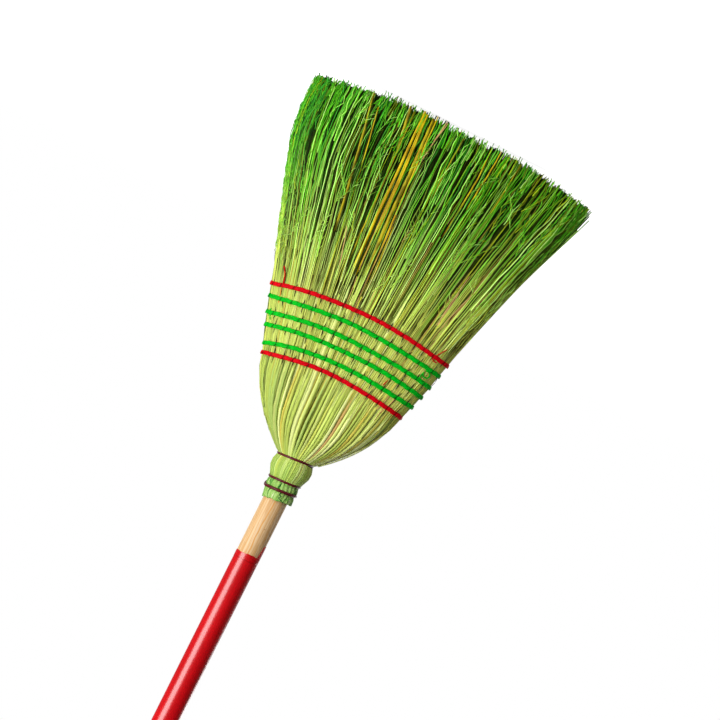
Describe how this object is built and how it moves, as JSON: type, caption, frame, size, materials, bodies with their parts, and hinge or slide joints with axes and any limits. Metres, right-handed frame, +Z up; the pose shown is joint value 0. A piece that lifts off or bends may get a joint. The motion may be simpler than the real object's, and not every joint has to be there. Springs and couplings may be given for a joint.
{
  "type": "broom",
  "caption": "Flat sewn broom: a fan of dyed corn straw wired to a round wooden handle with a glossy sleeve, its belt sewn through with rows of twine.",
  "frame": {"origin": "middle of the sweeping edge, at the lowest level of the straw tips", "axes": "+Z up along the handle, X across the head, -Y out of the front face shown in the picture"},
  "size_m": [0.3082, 0.0536, 1.4184],
  "materials": {
    "pine": "satin",
    "sleeve": "gloss",
    "corn": "matte",
    "leaf": "matte",
    "green_twine": "matte",
    "red_twine": "matte",
    "wire": "gloss",
    "nail": "satin"
  },
  "bodies": {
    "root": {"anchor_wire": "wire", "back_cover": "corn", "binding_nails": "nail", "front_cover": "corn", "green_stitch_row_a": "green_twine", "green_stitch_row_b": "green_twine", "green_stitch_row_c": "green_twine", "green_stitch_row_d": "green_twine", "handle": "pine", "handle_sleeve": "sleeve", "inner_bundle": "corn", "left_shoulder_bundle": "corn", "lower_neck_binding": "wire", "neck_wrap": "leaf", "red_stitch_row_shoulder": "red_twine", "red_stitch_row_tips": "red_twine", "right_shoulder_bundle": "corn", "throat_binding": "wire", "upper_neck_binding": "wire"}
  },
  "joints": []
}
